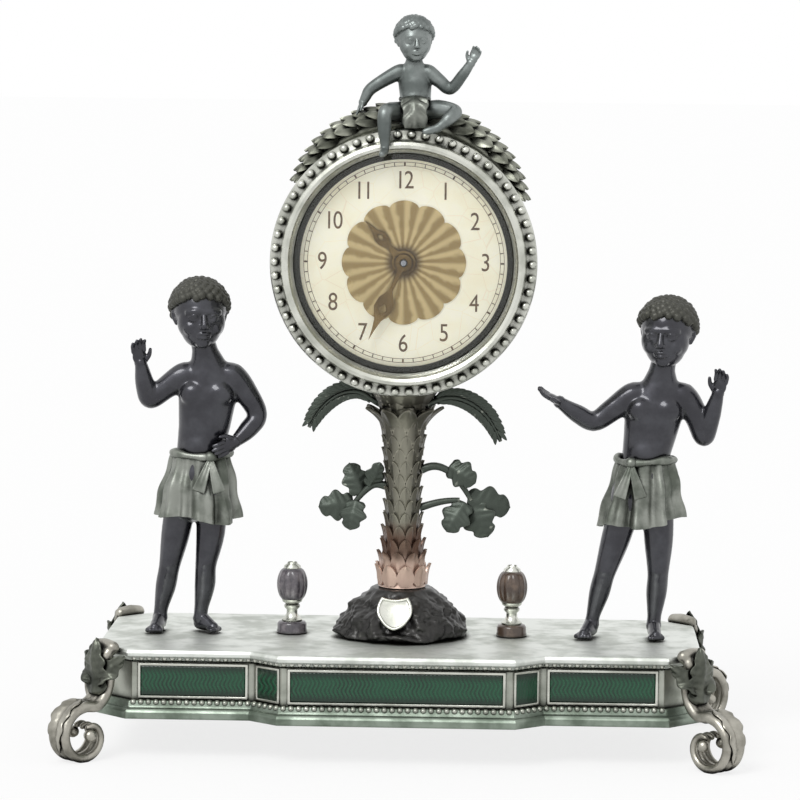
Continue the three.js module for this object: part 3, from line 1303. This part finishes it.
const minuteWheel = cut(
  joined(
    sheet(
      wheelShape(MINUTE_WHEEL_TEETH, MOTION_MODULE, MINUTE_WHEEL_ANGLE + 180),
      minuteLevel, minuteLevel + WHEEL_THICKNESS,
    ),
    sheet(
      pinionShape(MINUTE_LEAVES, hourModule, MINUTE_WHEEL_ANGLE + 180), hourLevel - 0.4, minuteLevel + 0.2,
    ),
  ),
  bar(boreRadius(0.8, RUN, 8), hourLevel - 2, minuteLevel + 3, 8),
);
piece("minute_wheel", minuteWheel, "brass", head, place(MINUTE_WHEEL));

const hourWheel = cut(
  joined(
    sheet(
      wheelShape(HOUR_WHEEL_TEETH, hourModule, MINUTE_WHEEL_ANGLE), hourLevel, hourLevel + WHEEL_THICKNESS,
    ),
    bar(hourPipe, hourHandFront - 0.3, hourLevel + 0.2, 12),
  ),
  bar(hourPipeBore, -30, 0, 12),
);
piece("hour_wheel", hourWheel, "brass", head);

/** Hand lying along +Z: a hub, a waisted blade with an eye, and a tip. */
function handShape(length, hub, bore) {
  const shape = new THREE.Shape();
  shape.absarc(0, 0, hub, rad(110), rad(430), false);
  const eye = length * 0.6;
  const half = length * 0.085;
  const blade = [
    [0.5, length * 0.36], [half * 1.15, eye - half * 1.4], [half * 1.3, eye], [half * 0.5, eye + half * 1.6],
    [0.42, length * 0.86],
  ];
  for (const [x, z] of blade) {
    shape.lineTo(x, z);
  }
  shape.lineTo(0, length);
  for (const [x, z] of [...blade].reverse()) {
    shape.lineTo(-x, z);
  }
  const window = new THREE.Path();
  window.moveTo(0, eye - half * 0.9);
  window.lineTo(half * 0.6, eye);
  window.lineTo(0, eye + half * 0.8);
  window.lineTo(-half * 0.6, eye);
  shape.holes.push(window);
  const hole = new THREE.Path();
  hole.absarc(0, 0, bore, 0, TURN, true);
  shape.holes.push(hole);
  return shape;
}
const hourShape = handShape(HOUR_HAND_LENGTH, 3.6, boreRadius(hourPipe, RUN, 12));
const hourHand = sheet(hourShape, hourHandFront, hourHandBack);
piece("hour_hand", hourHand.rotateY(rad(HOUR_HAND_AT)), "dark_gilt", head);
const minuteShape = handShape(MINUTE_HAND_LENGTH, 2.6, boreRadius(MINUTE_ARBOR_RADIUS, RUN, 12));
const minuteHand = sheet(minuteShape, minuteHandFront, minuteHandBack);
piece("minute_hand", minuteHand.rotateY(rad(MINUTE_HAND_AT)), "dark_gilt", head);

const knobFront = backPlateBack + 0.9;
const knobRim = [];
for (let i = 0; i < 20; i += 1) {
  const a = (i / 20) * TURN;
  const r = i % 2 ? 3 : 3.4;
  knobRim.push([r * Math.cos(a), r * Math.sin(a)]);
}
const knob = cut(
  joined(sheet(outline(knobRim), knobFront + 1.4, knobFront + 3), bar(1.9, knobFront, knobFront + 1.6, 10)),
  bar(minuteBore, 0, 20, 8),
);
piece("set_knob", knob, "brass", head);

// Crest: a leafy band over the drum and the seated boy on it
const crestInner = DRUM_RADIUS + SEAT;
const crestSeat = DRUM_RADIUS + GARLAND_SEAT_RISE;
const SEAT_LEFT = 7; // degrees either side of the top taken by the seat
const SEAT_RIGHT = 13;
const crestFront = drumFront + 1;
const crestBack = crestFront + GARLAND_DEPTH;
const upTo = (degrees, radius) => [radius * Math.sin(rad(degrees)), radius * Math.cos(rad(degrees))];

/** Top of the garland at an angle from the vertical, without its leaf notches. */
function garlandTop(degrees) {
  if (degrees > -SEAT_LEFT && degrees < SEAT_RIGHT) {
    return crestSeat;
  }
  const far = degrees < 0 ? -degrees / GARLAND_LEFT : degrees / GARLAND_RIGHT;
  return DRUM_RADIUS + GARLAND_RISE + (GARLAND_TIP_RISE - GARLAND_RISE) * Math.min(1, far) ** 2.2;
}

/** Section of the leafy band, or of the room it takes when a gap is given. */
function garlandOutline(gap) {
  const band = [];
  const steps = 44;
  const sweep = GARLAND_LEFT + GARLAND_RIGHT;
  for (let i = 0; i <= steps; i += 1) {
    const degrees = -GARLAND_LEFT + (sweep * i) / steps;
    const away = Math.abs(degrees) > 18 && i % 2;
    const room = Math.max(garlandTop(degrees - 1.5), garlandTop(degrees + 1.5)) + gap;
    band.push(upTo(degrees, gap ? room : garlandTop(degrees) - (away ? 1.1 : 0)));
  }
  for (let i = 0; i <= 14; i += 1) {
    band.push(upTo(GARLAND_RIGHT - (sweep * i) / 14, crestInner + 0.35));
  }
  return outline(band);
}
piece("crest_garland", sheet(garlandOutline(0), crestFront, crestBack), "leaf_bronze", head);

// The small boy, drawn 33 high from the middle of the seat
const PUTTO_TRUNK = [
  [2.6, 2, -0.6, 5.4, 4.8], [2.8, 2, 2.6, 5.8, 5.2], [3, 2.2, 7, 5, 4.6], [2.8, 2, 12, 5.4, 4.2],
  [2.5, 1.8, 15.6, 5, 3.5], [2.5, 1.4, 17.8, 3, 2.7], [2.5, 0.8, 20, 2.4, 2.4],
];
const PUTTO_ARMS = [
  [
    [0.2, 1.6, 14.8, 1.9], [-1.8, 1.6, 15.4, 2.5], [-7, 1, 12.6, 2.2], [-11.4, 0.6, 9.4, 1.9],
    [-13, 0.4, 6.6, 1.6], [-14.2, 0.4, 4.2, 1.4],
  ],
  [
    [4.6, 1.6, 14.8, 1.9], [6.8, 1.6, 15.4, 2.5], [10.6, 0.8, 12.2, 2.2], [14.4, 0.2, 9.6, 1.9],
    [18.4, -1.2, 14.8, 1.7], [21.2, -2, 19.2, 1.3], [22.4, -2.2, 21.2, 1.6], [23, -2.4, 23, 1],
  ],
];
const PUTTO_LEGS = [
  [
    [0.4, 0.4, 2.6, 3.2], [-3.6, -5.4, 2.8, 3], [-6, -11.6, 2.6, 2.3],
    [-6.2, -12.4, -3, 2.2], [-6, -12.4, -8.2, 1.4],
  ],
  [
    [5.4, 0.4, 2.6, 3.2], [10.6, -4, 3.6, 3], [16, -8, 3, 2.3],
    [14.4, -11.6, 0.6, 2.1], [11, -12.4, -2, 1.4],
  ],
];
const PUTTO_FEET = [
  [[-6, -12.2, -9.2, 1.3], [-6.4, -14, -10.2, 1.3], [-6.8, -15.8, -10.6, 0.9]],
  [[10.4, -12.5, -2.4, 1.3], [8.2, -13, -3, 1.3], [6.4, -13.4, -3.4, 0.9]],
];
const seatedScale = SEATED_HEIGHT / 33;
const puttoParts = [
  torso(PUTTO_TRUNK, 9),
  ...headParts(2.6, 0, 25.2, 10, 0.75),
  ...PUTTO_ARMS.map((arm) => limb(arm, 6)),
  ...PUTTO_LEGS.map((leg) => limb(leg, 7)),
  ...PUTTO_FEET.map((foot) => limb(foot, 6)),
].map((part) => part.scale(seatedScale, seatedScale, seatedScale));
const puttoY = drumFront + 3;
const overDrum = (radius, front) =>
  bar(radius, front - puttoY, drumBack - puttoY, ROUND * 2).translate(0, 0, -crestSeat);
const garlandRoom = sheet(garlandOutline(SEAT), crestFront - SEAT, crestBack + SEAT);
const putto = cut(
  joined(...puttoParts).simplify(FORM_TOLERANCE),
  garlandRoom.translate(0, -puttoY, -crestSeat),
  overDrum(crestSeat + SEAT, drumFront + 0.2),
  overDrum(BEZEL_RADIUS + SEAT, bezelFront - SEAT),
);
piece("crest_putto", putto, "old_silver", head, [0, puttoY, crestSeat]);

export default object;
